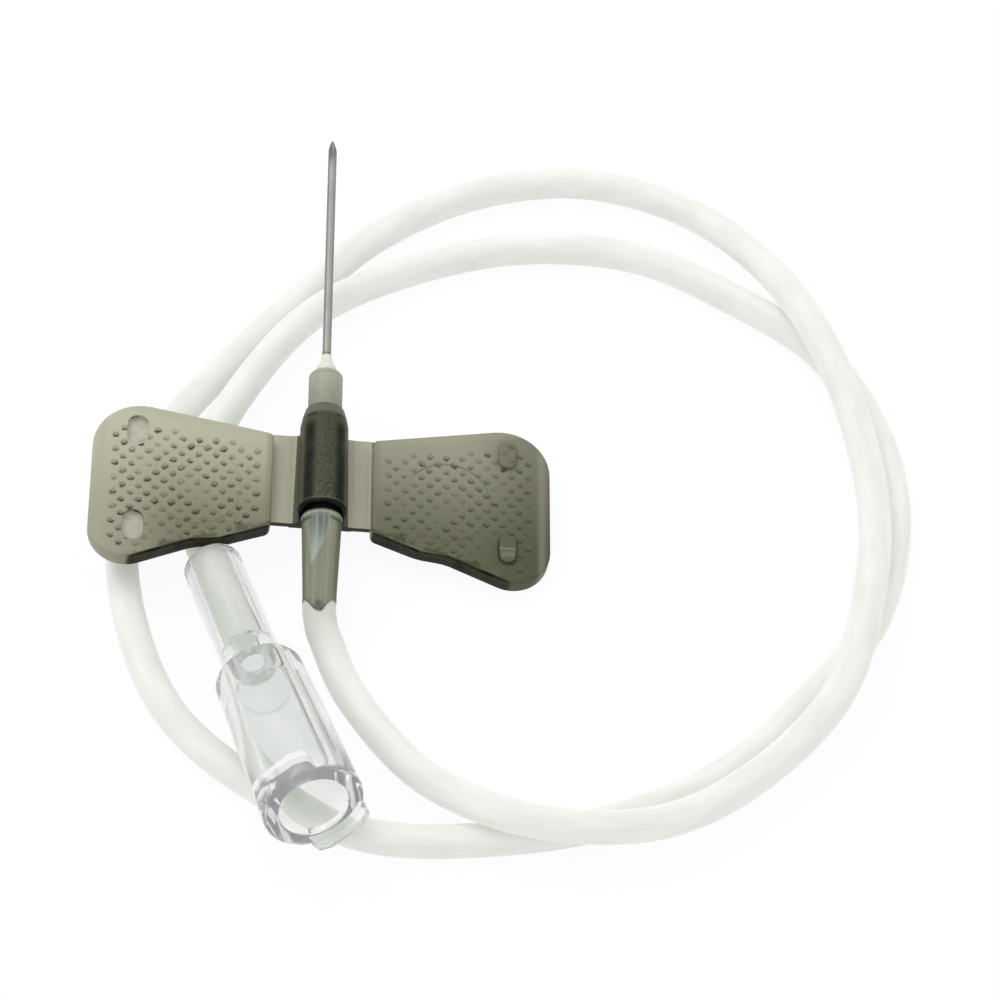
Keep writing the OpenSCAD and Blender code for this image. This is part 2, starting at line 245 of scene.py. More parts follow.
def bumped(shader, height, strength, distance):
    bump = height.node(
        "ShaderNodeBump", None, {"Height": height, "Strength": strength, "Distance": distance}
    )
    feed(shader, "Normal", bump)


print("finishes start from", "Principled BSDF")

# %% [markdown]
# The tube is soft, milky PVC with a matt skin. Its UV map runs along it: U goes once round, from
# the left over the top, and V counts centimetres. The stretched end is dark because the spigot
# shows through, with a silvery patch on top where the wall is pulled tight, shading from dark to a
# painted highlight, and faint draw lines. Its end and sides just behind the sleeve are painted dark
# as shade, and the whole tube glows faintly in its own colour, a painted light that evens its shading.

# %% Milky tube finish
SPIGOT_LENGTH = 0.625
tube_finish, shader, drawn = new_finish(
    "Milky_tube",
    Subsurface_Weight=0.85,
    Subsurface_Scale=0.0012,
    # painted light: the tube glows faintly in its own colour, fed below
    Emission_Strength=0.28,
    Subsurface_Radius=(1.0, 1.0, 0.95),
    Specular_IOR_Level=0.2,
    IOR=1.4,
)
coordinates = shader.id_data.nodes.new("ShaderNodeTexCoord")
around_tube, tube_along, tube_flat = Field(coordinates.outputs["UV"]).axes()
draw_lines = noise(Field(coordinates.outputs["UV"]), 26, 3.0, 0.55, (1, 0.03, 1))
milk = noise(Field(coordinates.outputs["UV"]), 2.2, 3.0, 0.5, (3, 1, 1))
colour = milk.clamped(0.3, 0.7).tinted((0.755, 0.775, 0.73), (0.815, 0.83, 0.79))
start_fade = tube_along.clamped(SPIGOT_LENGTH, SPIGOT_LENGTH + 0.55, 1, 0)
colour = colour.covered(start_fade * 0.85, (0.57, 0.595, 0.535))
off_top = (around_tube - 0.25).size()
cuff_end = SPIGOT_LENGTH + off_top.clamped(0, 0.17, 0.085, 0)
on_spigot = (tube_along - cuff_end).clamped(-0.012, 0.012, 1, 0)
colour = colour.covered(on_spigot, (0.22, 0.23, 0.17))
streaks = draw_lines.clamped(0.42, 0.62)
colour = colour.covered(on_spigot * streaks * 0.5, (0.32, 0.325, 0.255))
colour = colour.covered(off_top.clamped(0.12, 0.2) * on_spigot * 0.75, (0.06, 0.065, 0.04))
# a silvery patch on top of the stretched end, painted from dark at the cuff's end to a painted highlight further along,
# with lighter streaks
patch_left = (around_tube - tube_along * 0.12).clamped(0.118, 0.142)
patch_limit = 0.37 - tube_along * 0.2 - tube_along * tube_along * 0.75
patch_right = (around_tube - patch_limit).clamped(-0.012, 0.012, 1, 0)
patch = patch_left * patch_right * tube_along.clamped(0.03, 0.06) * tube_along.clamped(0.38, 0.44, 1, 0)
colour = colour.covered_by(patch * 0.9, tube_along.clamped(0.05, 0.38).tinted((0.12, 0.14, 0.125), (0.37, 0.41, 0.38)))
colour = colour.covered(patch * streaks * 0.6, (0.37, 0.40, 0.37))
# painted shade: the tube's very end, in the hollow behind the sleeve, is painted nearly black
colour = colour.covered(tube_along.clamped(0.01, 0.02, 1, 0) * 0.8, (0.07, 0.075, 0.055))
colour = colour.covered(tube_along.band(0.024, 0.012) * 0.6, (0.48, 0.50, 0.43))
# painted shade: the tube's sides just behind the sleeve are painted dark
colour = colour.covered(tube_along.band(0.055, 0.04) * off_top.clamped(0.05, 0.12) * 0.8, (0.03, 0.033, 0.02))
colour = colour.covered((tube_along - cuff_end).band(0, 0.035) * draw_lines.clamped(0.3, 0.6, 0.4, 0.9), (0.07, 0.075, 0.055))
spot = distance((around_tube - 0.25) * 6.6, (tube_along - SPIGOT_LENGTH - 0.055) * 10)
colour = colour.covered(spot.clamped(0.05, 0.5, 1, 0) * 0.7, (0.05, 0.052, 0.036))
# painted light: the tube glows in its own colour so its shading stays flat, and its base colour is darkened by 0.3 to
# leave room for that glow
feed(shader, "Base Color", colour.covered(0.3, (0, 0, 0)))
feed(shader, "Emission Color", colour)
feed(shader, "Roughness", milk.clamped(0.3, 0.7, 0.42, 0.52))
print("made", tube_finish.name)

# %% [markdown]
# The wings are moulded in smoky PVC, cloudy enough to hide what lies behind it. The thin web is
# pale, as it is thin, and the plate is olive grey. The plate is painted lighter towards its front,
# which stands higher off the table, as painted light coming up through it there, and its rear side
# is painted nearly black as shade. The pips are on the underside and show through as soft dots,
# each with a crescent of painted shade, so the finish repeats their lattice on the top, moved back a
# little, as a look through 1.3 mm shifts it.

# %% Where the pips show
PIP_ROW = 0.53
PEG_REACH = 11.9
PEG_SPACING = 7.0
PEG_REAR = 1.9
WITNESS = Vector((8, -2.2))
WITNESS_RADIUS = 2.85
DEPTH_SHIFT = 0.45


def rear_limit(u):
    """The rear edge of the pips, 0.9 mm inside the wing's rear edge."""
    root = -2.668 - u * 0.3667
    middle = -4.236 - u * 0.1222
    tip = -1.826 - u * 0.415
    return root.most(middle.least(tip))


def pip_marks(u, v):
    a = (u + v) * (0.5 / PIP_ROW)
    b = (u - v) * (0.5 / PIP_ROW)
    cell_a = a.whole()
    cell_b = b.whole()
    cell_u = (cell_a + cell_b) * PIP_ROW
    cell_v = (cell_a - cell_b) * PIP_ROW
    dot = distance(a - cell_a, b - cell_b).clamped(0.17, 0.39, 1, 0)
    # an offset dot: what is left of each dot outside it is a crescent of painted shade on the pip's flank
    lifted = distance(a - cell_a - 0.12, b - cell_b + 0.1).clamped(0.15, 0.36, 1, 0)
    kept = cell_u.clamped(4.09, 4.11) * (cell_u - 13.4).clamped(-0.01, 0.01, 1, 0)
    kept = kept * (cell_v - cell_u * 0.1696 - 0.6445).clamped(-0.01, 0.01, 1, 0)
    kept = kept * (cell_v - rear_limit(cell_u)).clamped(-0.01, 0.01)
    kept = kept * (cell_a - 14.2).clamped(-0.1, 0.1, 1, 0) * (cell_b - 18.6).clamped(-0.1, 0.1, 1, 0)
    cell = u.node("ShaderNodeCombineXYZ", None, {0: cell_u, 1: cell_v})
    chance = u.node("ShaderNodeTexWhiteNoise", None, {"Vector": cell}, "Value")
    strength = kept * (chance * 0.65 + 0.35)
    return dot * strength, (dot - lifted).most(0.0) * strength


print("the lattice repeats every", PIP_ROW, "mm")

# %% The wing's top face
def wing_top_colour(drawn, cloud, rear_shade, front_shade, outer_shade, pip_depth, ring_depth):
    u, v, n = drawn.axes()
    # painted light: the plate is painted lighter towards its front, where more light comes up through it from the
    # table, and its outer part lighter or darker as each wing is lit
    forward = v.clamped(-7, 3)
    colour = (forward * (forward * 0.3 + 0.7)).tinted(rear_shade, front_shade)
    colour = colour.covered(u.clamped(8.5, 14.5) * 0.5, outer_shade)
    rim = u.band(14.15, 0.9) + (v - u * 0.1696).band(1.2, 0.9)
    colour = colour.covered(rim.least(1.0) * 0.3, (0.34, 0.335, 0.26))
    on_top = n.clamped(-0.4, -0.3)
    wobble = noise(drawn, 2.3, 2.0) * 0.34 - 0.17
    dots, shade_crescents = pip_marks(u + wobble, v - wobble + on_top * DEPTH_SHIFT)
    clear_patch = cloud.clamped(0.36, 0.5, 0.3, 1) * pip_depth
    colour = colour.covered(dots * clear_patch * 0.55, (0.105, 0.102, 0.066))
    # crescents of painted shade on the pips
    colour = colour.covered(shade_crescents * clear_patch * 1.3, (0.035, 0.035, 0.018))
    ring = (distance(u - WITNESS.x, v - WITNESS.y) - WITNESS_RADIUS).band(0, 0.16) * on_top
    return colour.covered(ring * (cloud + v * 0.05).clamped(0.38, 0.5) * ring_depth, (0.05, 0.05, 0.032))


# %% The thin web and the edges of a wing
def wing_edge_colour(colour, drawn, cloud, grain, near_peg):
    u, v, n = drawn.axes()
    on_top = n.clamped(-0.4, -0.3)
    web = u.clamped(3.1, 3.25, 1, 0)
    colour = colour.covered(web, WEB_SHADE)
    colour = colour.covered(u.band(3.4, 0.8) * 0.4, (0.17, 0.165, 0.115))
    # painted light: lightens the web at the foot of the step, against the shade that the step's wall casts there
    colour = colour.covered(u.band(3.16, 0.4) * n.clamped(-0.9, -0.5, 1, 0), (0.49, 0.482, 0.385))
    front_line = (v - u * 0.1696 - 0.6445).clamped(0.78, 0.88) * (1 - web)
    front_line = front_line.most(v.clamped(2.38, 2.46) * web)
    colour = colour.covered(front_line * 0.7, (0.10, 0.10, 0.07))
    lumps = noise(drawn, 0.75, 4.0, 0.62)
    edge_depth = v - rear_limit(u)
    not_peg = (1 - near_peg) * (1 - web)
    # painted shade: the rear side is painted nearly black, mottled by lumps, and the dark reaches up over the top edge
    # in lumps
    rear_side_shade = edge_depth.clamped(-0.90, -0.78, 1, 0) * not_peg
    reach_up = (lumps + edge_depth * -0.3).clamped(0.66, 0.76) * not_peg * on_top
    rear_side_shade = rear_side_shade.most(reach_up * 0.5)
    side_shade = (lumps + n * 0.12).clamped(0.30, 0.46).tinted((0.001, 0.0015, 0.0), (0.020, 0.020, 0.008))
    side_shade = side_shade.covered(n.band(-0.6, 0.5) * grain.clamped(0.45, 0.6) * 0.3, (0.12, 0.115, 0.075))
    colour = colour.covered_by(rear_side_shade * n.clamped(-1.56, -1.5), side_shade)
    # painted highlight along the top of the rear edge
    rear_edge_highlight = edge_depth.band(-0.82, 0.16) * on_top * not_peg * cloud.clamped(0.44, 0.56)
    colour = colour.covered(rear_edge_highlight * 0.2, (0.36, 0.355, 0.27))
    # painted shade: the web's rear end is painted nearly black
    web_end_shade = v.clamped(-4.08, -4.03, 1, 0) * web
    return colour.covered(web_end_shade * 0.9, (0.01, 0.011, 0.005))


# %% Pegs and recesses
def peg_colour(colour, drawn, pegs_off, near_peg):
    u, v, n = drawn.axes()
    rear_peg = v.clamped(-2.2, -1.8, 1, 0)
    front_peg = 1 - rear_peg
    proud = n.clamped(-0.12, -0.02)
    colour = colour.covered(proud * rear_peg * 0.8, (0.105, 0.105, 0.07))
    colour = colour.covered(proud * rear_peg * v.band(-5.45, 0.24) * 0.6, (0.24, 0.24, 0.17))
    inner = pegs_off.clamped(0.3, 0.5, 1, 0)
    colour = colour.covered(proud * rear_peg * v.band(-5.85, 0.7) * inner * 0.6, (0.19, 0.19, 0.135))
    colour = colour.covered(proud * front_peg * 0.5, (0.12, 0.118, 0.08))
    peg_rim = pegs_off.band(0.57, 0.2) * rear_peg * n.clamped(-0.3, -0.2)
    colour = colour.covered(peg_rim * 0.85, (0.03, 0.032, 0.016))
    recess_floor = n.clamped(-0.7, -0.64) * n.clamped(-0.6, -0.5, 1, 0) * near_peg
    return colour.covered(recess_floor * 0.8, (0.52, 0.51, 0.42))


# %% Smoky wing finishes
WEB_SHADE = (0.42, 0.413, 0.32)


def smoky_wing(name, **shades):
    finish, shader, drawn = new_finish(name, IOR=1.45, Specular_IOR_Level=0.1)
    u, v, n = drawn.axes()
    grain = noise(drawn, 9, 3.0, 0.6)
    cloud = noise(drawn, 0.42, 2.0)
    pegs_off = distance(u - PEG_REACH, ((v + PEG_REAR).size() - PEG_SPACING / 2).size().most(0.5) - 0.5)
    near_peg = pegs_off.clamped(0.72, 0.78, 1, 0)
    colour = wing_top_colour(drawn, cloud, **shades)
    colour = wing_edge_colour(colour, drawn, cloud, grain, near_peg)
    colour = peg_colour(colour, drawn, pegs_off, near_peg)
    feed(shader, "Base Color", colour)
    feed(shader, "Roughness", grain.clamped(0.3, 0.7, 0.38, 0.5))
    bumped(shader, grain, 0.2, 0.00002)
    return finish


# the left wing lies over the connector and the tube, which throw light up through it
left_wing_finish = smoky_wing(
    "Smoky_left_wing",
    rear_shade=(0.165, 0.162, 0.108),
    front_shade=(0.43, 0.425, 0.32),
    outer_shade=(0.46, 0.455, 0.35),
    pip_depth=1.0,
    ring_depth=0.0,
)
right_wing_finish = smoky_wing(
    "Smoky_right_wing",
    rear_shade=(0.108, 0.107, 0.069),
    front_shade=(0.29, 0.287, 0.215),
    outer_shade=(0.045, 0.045, 0.024),
    pip_depth=0.8,
    ring_depth=0.5,
)
print("made", left_wing_finish.name, "and", right_wing_finish.name)

# %% [markdown]
# The sleeve is the same smoky plastic round a grey hub. Its middle shows the hub's barrel through
# fine specks, and its thin lip in front is paler. Beside the barrel, round its front shoulder, at its
# sides, at its rear end and in the crease where each web meets it, it is painted dark as shade.
# Beyond its wall the two thin webs start, in the wings' own colour.

# %% Dark sleeve finish
sleeve_finish, shader, drawn = new_finish(
    "Smoky_sleeve", IOR=1.45, Specular_IOR_Level=0.15
)
u, v, n = drawn.axes()
specks = noise(drawn, 7, 4.0, 0.7)
cloud = noise(drawn, 0.9, 2.0)
across = u.size()
colour = specks.clamped(0.35, 0.65).tinted((0.034, 0.037, 0.021), (0.072, 0.077, 0.048))
colour = colour.covered(specks.clamped(0.56, 0.68) * v.clamped(-3.4, -0.5, 1, 0) * 0.55, (0.16, 0.165, 0.13))
# painted shade: beside the barrel the sleeve is painted nearly black
gap = across.clamped(0.45, 0.95) * across.clamped(1.15, 1.4, 1, 0)
colour = colour.covered(gap * v.clamped(1.9, 2.5, 1, 0.1) * cloud.clamped(0.3, 0.6, 0.75, 1), (0.006, 0.007, 0.002))
colour = colour.covered(across.clamped(1.25, 1.42) * 0.75, (0.085, 0.086, 0.052))
# painted shade at the sleeve's two sides
colour = colour.covered(across.clamped(1.47, 1.54) * 0.7, (0.03, 0.031, 0.018))
lip = v.clamped(2.9, 3.15)
colour = colour.covered(lip * 0.6, (0.16, 0.168, 0.12))
colour = colour.covered(v.band(3.72, 0.18) * 0.7, (0.06, 0.063, 0.045))
# painted shade round the sleeve's front shoulder
brow = v.band(2.85, 0.32) * across.clamped(0.55, 0.75) * across.clamped(1.1, 1.22, 1, 0)
colour = colour.covered(brow * 0.9, (0.008, 0.009, 0.003))
colour = colour.covered(v.band(2.35, 0.35) * across.clamped(0.3, 0.8, 0.35, 0), (0.05, 0.053, 0.037))
colour = colour.covered(v.band(-3.45, 0.16) * 0.25, (0.20, 0.205, 0.165))
# painted shade: the sleeve's rear end is painted nearly black, the hollow there being in shadow
colour = colour.covered(v.clamped(-3.6, -3.5, 1, 0), (0.002, 0.003, 0.001))
stub = distance(u, n).clamped(1.56, 1.62)
colour = colour.covered(stub, WEB_SHADE)
# painted shade in the crease where each web's stub meets the sleeve
colour = colour.covered(stub * (across + v * 0.02).clamped(1.66, 1.74, 1, 0) * 0.85, (0.035, 0.036, 0.02))
# painted shade: the stubs' rear ends are painted nearly black
colour = colour.covered(stub * v.clamped(-4.08, -4.03, 1, 0), (0.02, 0.022, 0.012))
feed(shader, "Base Color", colour)
feed(shader, "Roughness", specks.clamped(0.35, 0.65, 0.38, 0.5))
bumped(shader, specks, 0.3, 0.00002)
print("made", sleeve_finish.name)

# %% [markdown]
# The hub is a small rigid moulding in pale grey-green, seen at the collar ahead of the sleeve. Its
# finish is drawn with the needle's direction on Z, because a turned piece is drawn that way.

# %% Hub finish
hub_finish, shader, drawn = new_finish(
    "Grey_green_hub", Transmission_Weight=0.1, IOR=1.46, Specular_IOR_Level=0.35
)
u, v, along = drawn.axes()
mottle = noise(drawn, 3, 3.0)
colour = along.clamped(3.9, 6.6).tinted((0.25, 0.262, 0.19), (0.365, 0.382, 0.29))
colour = colour.covered(mottle.clamped(0.4, 0.7) * 0.3, (0.40, 0.41, 0.33))
colour = colour.covered(along.band(6.28, 0.14) * 0.5, (0.16, 0.17, 0.115))
# painted shade on the collar's two sides
colour = colour.covered(u.size().clamped(0.95, 1.08) * 0.45, (0.17, 0.18, 0.125))
# painted shade: behind the collar the hub is painted nearly black, where it lies in the dark inside the sleeve and the
# tube
colour = colour.covered(along.clamped(3.2, 3.6, 1, 0), (0.012, 0.013, 0.007))
feed(shader, "Base Color", colour)
feed(shader, "Roughness", mottle.clamped(0.3, 0.7, 0.35, 0.45))
bumped(shader, mottle, 0.15, 0.00002)
print("made", hub_finish.name)

# %% [markdown]
# The needle is drawn stainless tube with very fine lines along it. Noise that is stretched along
# the needle makes them in colour, roughness and bump. Near the glue it has an olive cast.

# %% Drawn steel finish
steel_finish, shader, drawn = new_finish("Drawn_steel", Metallic=1.0)
u, v, n = drawn.axes()
lines = noise(drawn, 12, 3.0, 0.6, (1, 0.02, 1))
stains = noise(drawn, 0.7, 3.0)
colour = (lines * 0.5 + stains * 0.5).clamped(0.3, 0.7).tinted((0.325, 0.33, 0.315), (0.41, 0.415, 0.40))
# painted shade on the needle's two sides
colour = colour.covered(u.size().clamped(0.16, 0.26) * 0.6, (0.20, 0.205, 0.195))
colour = colour.covered(v.clamped(7.4, 10.0, 1, 0) * 0.5, (0.33, 0.335, 0.265))
colour = colour.covered(v.band(8.22, 0.3) * 0.6, (0.12, 0.125, 0.09))
colour = colour.covered(v.clamped(23.4, 24.2) * 0.6, (0.19, 0.195, 0.19))
feed(shader, "Base Color", colour)
feed(shader, "Roughness", lines.clamped(0.3, 0.7, 0.55, 0.65))
bumped(shader, lines, 0.2, 0.00001)
print("made", steel_finish.name)

# %% [markdown]
# Cured glue holds the needle in the collar. It is clear with a milky, faintly green cast.

# %% Glue finish
glue_finish, shader, drawn = new_finish("Cured_glue", IOR=1.45)
bubbles = noise(drawn, 4, 2.0)
feed(shader, "Base Color", bubbles.clamped(0.35, 0.65).tinted((0.60, 0.635, 0.555), (0.68, 0.71, 0.64)))
feed(shader, "Roughness", bubbles.clamped(0.35, 0.65, 0.2, 0.35))
print("made", glue_finish.name)

# %% [markdown]
# The connector is clear and colourless. In a clear part the shapes inside, such as the tube's end,
# the steps of the bore and the luer taper, are what the eye sees, so its mesh has them all. The
# parting line of the mould is a dark hair line along one side.

# %% Clear connector finish
LUG_TURN = math.radians(-60)
SEAM_TURN = math.radians(50)
clear_finish, shader, drawn = new_finish(
    "Clear_connector",
    Transmission_Weight=0.88,
    IOR=1.3,
    # painted light: the connector glows faintly in a pale colour to lift its tones
    Emission_Color=(0.72, 0.75, 0.70, 1),
    Emission_Strength=0.02,
)
x, y, along = drawn.axes()
flow = noise(drawn, 0.3, 2.0, 0.5, (2, 2, 0.5))
colour = flow.clamped(0.3, 0.7).tinted((0.83, 0.85, 0.835), (0.89, 0.90, 0.885))
off_seam = (y * math.cos(SEAM_TURN) - x * math.sin(SEAM_TURN)).size()
on_side = (x * math.cos(SEAM_TURN) + y * math.sin(SEAM_TURN)).clamped(1.7, 1.8)
hair = off_seam.clamped(0.02, 0.06, 1, 0) * on_side
hair = hair * (along.clamped(13.2, 14.2) * along.clamped(20.8, 21.6, 1, 0)).most(
    along.clamped(3.0, 4.5) * along.clamped(7.4, 8.0, 1, 0)
)
colour = colour.covered(hair * 0.85, (0.10, 0.11, 0.10))
from_axis = distance(x, y)
colour = colour.covered(along.clamped(20.8, 22.4) * 0.8, (1, 1, 1))
mouth_face = along.clamped(22.6, 22.75) * from_axis.clamped(2.1, 2.2) * from_axis.clamped(3.0, 3.14, 1, 0)
colour = colour.covered(mouth_face * 0.8, (0.74, 0.77, 0.78))
step_face = along.band(10.2, 0.3) * from_axis.clamped(0.6, 0.7) * from_axis.clamped(1.6, 1.7, 1, 0)
colour = colour.covered(step_face * 0.8, (0.45, 0.47, 0.45))
steps = along.band(10.3, 0.1).most(along.band(11.1, 0.1)).most(along.band(12.6, 0.12))
colour = colour.covered(steps * 0.35, (0.42, 0.44, 0.42))
feed(shader, "Base Color", colour)
feed(shader, "Roughness", flow.clamped(0.3, 0.7, 0.015, 0.04))
bumped(shader, flow, 0.12, 0.00005)
print("made", clear_finish.name)

# %% [markdown]
# Pieces are outlines, either turned about an axis or raised into a plate. Mouldings have no sharp
# corners, so each corner of an outline states its own radius.


# %% Outlines with rounded corners
def rounded(corners, steps=5):
    points = []
    for i, (x, y, radius) in enumerate(corners):
        here = Vector((x, y))
        if radius == 0:
            points.append(here)
            continue
        to_last = (Vector(corners[i - 1][:2]) - here).normalized()
        to_next = (Vector(corners[(i + 1) % len(corners)][:2]) - here).normalized()
        half = to_last.angle(to_next) / 2
        centre = here + (to_last + to_next).normalized() * radius / math.sin(half)
        start = here + to_last * radius / math.tan(half) - centre
        end = here + to_next * radius / math.tan(half) - centre
        first = math.atan2(start.y, start.x)
        sweep = (math.atan2(end.y, end.x) - first + math.pi) % math.tau - math.pi
        for k in range(steps + 1):
            angle = first + sweep * k / steps
            points.append(centre + radius * Vector((math.cos(angle), math.sin(angle))))
    return points


def inset(outline, distance):
    count = len(outline)
    moved = []
    for i, here in enumerate(outline):
        ahead = (outline[(i + 1) % count] - outline[i - 1]).normalized()
        moved.append(here + distance * Vector((-ahead.y, ahead.x)))
    return moved


print("a rounded square has", len(rounded([(0, 0, 1), (9, 0, 1), (9, 9, 1), (0, 9, 1)])), "points")


# %% Meshes from outlines
def new_piece(name, vertices, faces):
    mesh = bpy.data.meshes.new(name)
    mesh.from_pydata([tuple(v) for v in vertices], [], faces)
    work = bmesh.new()
    work.from_mesh(mesh)
    bmesh.ops.remove_doubles(work, verts=work.verts, dist=1e-6)
    bmesh.ops.recalc_face_normals(work, faces=work.faces)
    work.to_mesh(mesh)
    work.free()
    piece = bpy.data.objects.new(name, mesh)
    bpy.context.scene.collection.objects.link(piece)
    return piece


def turned_piece(name, profile, sides, swell=None):
    """Turns a closed profile of (along, radius) points about Z; swell adds to an outer radius by angle."""
    vertices, faces = [], []
    count = len(profile)
    for k in range(sides):
        angle = math.tau * k / sides
        for along, radius in profile:
            reach = radius + (swell(along, radius, angle) if swell else 0)
            vertices.append((reach * math.cos(angle), reach * math.sin(angle), along))
    for k in range(sides):
        here, ahead = k * count, (k + 1) % sides * count
        for i in range(count):
            j = (i + 1) % count
            faces.append((here + i, here + j, ahead + j, ahead + i))
    return new_piece(name, vertices, faces)


def plate(name, outline, low, high, edge, steps=4):
    """Raises an anticlockwise outline into a plate with rounded edges."""
    rings = [(edge + 0.12, low)]
    for k in range(steps + 1):
        angle = math.pi / 2 * k / steps
        rings.append((edge * (1 - math.sin(angle)), low + edge * (1 - math.cos(angle))))
    for k in range(steps + 1):
        angle = math.pi / 2 * k / steps
        rings.append((edge * (1 - math.cos(angle)), high - edge * (1 - math.sin(angle))))
    rings.append((edge + 0.12, high))
    vertices, faces = [], []
    count = len(outline)
    for distance, height in rings:
        vertices += [(p.x, p.y, height) for p in inset(outline, distance)]
    for r in range(len(rings) - 1):
        for i in range(count):
            j = (i + 1) % count
            faces.append((r * count + i, r * count + j, (r + 1) * count + j, (r + 1) * count + i))
    faces.append(tuple(reversed(range(count))))
    faces.append(tuple(range((len(rings) - 1) * count, len(rings) * count)))
    return new_piece(name, vertices, faces)


print("mesh helpers ready")


# %% Joining, cutting and laying pieces
def settled(piece):
    """Turns what the modifiers make into the piece's own plain mesh."""
    graph = bpy.context.evaluated_depsgraph_get()
    graph.update()
    made = bpy.data.meshes.new_from_object(piece.evaluated_get(graph))
    piece.modifiers.clear()
    piece.data = made
    return piece


def combine(piece, other, operation):
    modifier = piece.modifiers.new(operation, "BOOLEAN")
    modifier.operation = operation
    modifier.solver = "EXACT"
    modifier.object = other
    settled(piece)
    bpy.data.objects.remove(other)
    return piece


def laid(piece, matrix, finish, slot, *nodes, crease=32):
    """Notes where each point was drawn, in mm, and lays the piece in the shared frame."""
    drawn = piece.data.attributes.new("drawn", "FLOAT_VECTOR", "POINT")
    drawn.data.foreach_set("vector", [number for vertex in piece.data.vertices for number in vertex.co])
    piece.data.transform(matrix)
    if matrix.determinant() < 0:
        piece.data.flip_normals()
    piece.data.materials.clear()
    piece.data.materials.append(finish)
    piece.data.shade_smooth()
    piece.data.set_sharp_from_angle(angle=math.radians(crease))
    if nodes:
        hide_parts(*nodes)
    print(piece.name, "has", len(piece.data.polygons), "faces")
    return piece


ALONG_NEEDLE = NEEDLE_LAID @ Matrix.Rotation(-math.pi / 2, 4, "X")
print("helpers ready")

# %% [markdown]
# The tube follows the same route as in the CAD model: a point every few millimetres with
# a Catmull-Rom curve through them, which passes through each point and bends evenly between.

# %% The tube's route
TUBE_OD = 2.1
TUBE_ID = 1.2
CUFF_REAR = -11.0
TUBE_SEAT = 8.2
ROUTE = [
    (0.5, -20, 2.5), (2.5, -24.5, 1.9), (7, -30.5, 2.4), (13.5, -34.25, 3.4),
    (21, -34, 2.9), (27.25, -30, 2.3), (32.25, -24.25, 2.8), (34.5, -17, 3.4),
    (35.25, -9.5, 3), (34.25, -1.75, 3.2), (32, 5.5, 3.4), (28.75, 12.25, 2.4),
    (23.75, 18, 1.2), (16.75, 20.5, 1.1), (9.25, 19.25, 1.1), (2.75, 15.25, 1.1),
    (-2.25, 9.5, 1.1), (-7, 3.5, 1.1), (-11, -3, 1.1), (-12.75, -10.5, 1.1),
    (-11.75, -18, 1.1), (-8.75, -25, 1.1), (-3.25, -30.25, 1.1), (3.5, -33.75, 1.1),
    (11.25, -34, 1.1), (18.75, -32.5, 1.1), (25.5, -29, 1.1), (30.75, -23.5, 1.1),
    (35, -17.25, 1.1), (36.75, -9.75, 1.1), (36, -2.25, 1.1), (32.75, 4.75, 1.1),
    (27, 9.75, 1.1), (20.5, 13.5, 1.1), (12.75, 14.25, 1.1), (5.5, 12.25, 1.2),
    (-0.75, 8, 1.9), (-5, 1.75, 2.2), (-7.75, -5, 2),
]
ROUTE_STEPS = 8

needle_axes = NEEDLE_LAID.copy()
luer_axis = (LUER_LAID.to_3x3() @ Vector((0, 0, 1))).normalized()
socket_mouth = LUER_PLACE * MM
controls = [needle_axes @ Vector((0, CUFF_REAR, 0))]
controls += [Vector(p) * MM for p in ROUTE]
controls += [socket_mouth + s * MM * luer_axis for s in (-3, 0, TUBE_SEAT / 2, TUBE_SEAT)]


def smooth_route(points, steps):
    first = 2 * points[0] - points[1]
    last = 2 * points[-1] - points[-2]
    padded = [first, *points, last]
    route = []
    for i in range(1, len(padded) - 2):
        a, b, c, d = padded[i - 1 : i + 3]
        for k in range(steps):
            t = k / steps
            route.append(
                0.5 * (2 * b + (c - a) * t + (2 * a - 5 * b + 4 * c - d) * t**2
                       + (3 * b - 3 * c + d - a) * t**3)
            )
    return route + [points[-1]]


free_route = smooth_route(controls, ROUTE_STEPS)
print("free route has", len(free_route), "points")

# %% [markdown]
# The tube is pushed over the hub's tapered spigot, so its end is stretched wide and its wall there
# follows the spigot. The whole tube is one hollow mesh: a ring of outer and inner points at each
# station, joined in a closed skin, with UVs that run along it for the draw lines.

# %% Tube mesh
TUBE_SIDES = 28
CUFF = [
    # along the needle, outside radius, inside radius
    (-4.15, 1.22, 0.96), (-4.19, 1.3, 0.94), (-4.28, 1.325, 0.93), (-4.4, 1.32, 0.925), (-4.55, 1.275, 0.92),
    (-5.6, 1.24, 0.88), (-6.6, 1.2, 0.83), (-7.6, 1.16, 0.78), (-8.6, 1.12, 0.73), (-9.4, 1.09, 0.69),
    (-10.0, 1.07, 0.66), (-10.25, 1.075, 0.64), (-10.4, 1.075, 0.62), (-10.55, 1.06, 0.6), (-10.75, 1.05, 0.6),
]
stations = [needle_axes @ Vector((0, v, 0)) for v, outside, inside in CUFF] + free_route
outer_radii = [outside for v, outside, inside in CUFF] + [TUBE_OD / 2] * len(free_route)
inner_radii = [inside for v, outside, inside in CUFF] + [TUBE_ID / 2] * len(free_route)

vertices, faces, uvs = [], [], []
travelled = [0.0]
for i in range(1, len(stations)):
    travelled.append(travelled[-1] + (stations[i] - stations[i - 1]).length)
for i, here in enumerate(stations):
    ahead = (stations[min(i + 1, len(stations) - 1)] - stations[max(i - 1, 0)]).normalized()
    side = ahead.cross(Vector((0, 0, 1))).normalized()
    up = side.cross(ahead)
    for radius in (outer_radii[i], inner_radii[i]):
        for k in range(TUBE_SIDES):
            angle = math.tau * k / TUBE_SIDES
            vertices.append(here + radius * MM * (math.cos(angle) * side + math.sin(angle) * up))


def ring_point(station, wall, k):
    return (station * 2 + wall) * TUBE_SIDES + k % TUBE_SIDES


